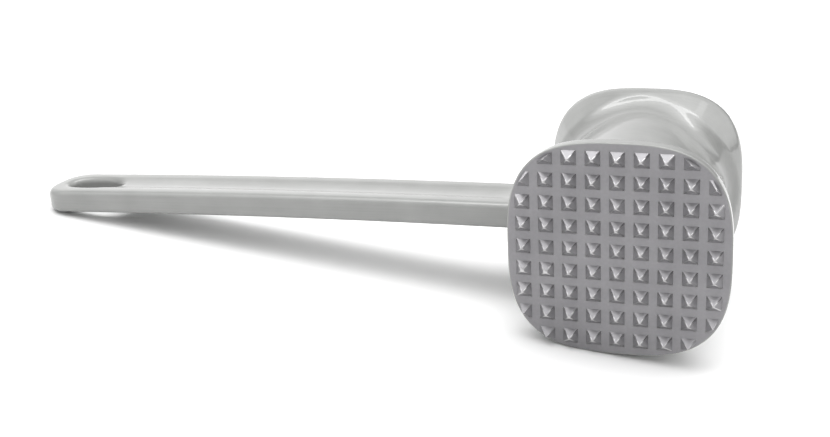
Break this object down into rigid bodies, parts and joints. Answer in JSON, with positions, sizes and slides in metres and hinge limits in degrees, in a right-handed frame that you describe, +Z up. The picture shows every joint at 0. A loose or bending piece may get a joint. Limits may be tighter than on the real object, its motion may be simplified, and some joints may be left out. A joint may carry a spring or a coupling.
{
  "type": "meat mallet",
  "caption": "Cast aluminium meat mallet: waisted head with a toothed and a smooth square face, on a flat arched handle with a hang hole.",
  "frame": {"origin": "centre of the footprint on the table that the mallet lies on, under the middle of its bounding box", "axes": "+Z up from the table, -Y the way the toothed face looks, +Y the way the smooth face looks, -X along the handle towards its hang hole"},
  "size_m": [0.2336, 0.0692, 0.0631],
  "materials": {
    "cast_aluminium": "silver grey cast aluminium under a smooth clear lacquer, satin gloss",
    "toothed_aluminium": "the same cast metal left duller between the teeth, with bright worn tooth edges"
  },
  "bodies": {
    "root": {"toothed_face": "toothed_aluminium", "head_waist": "cast_aluminium", "smooth_face": "cast_aluminium", "handle": "cast_aluminium"}
  },
  "joints": []
}
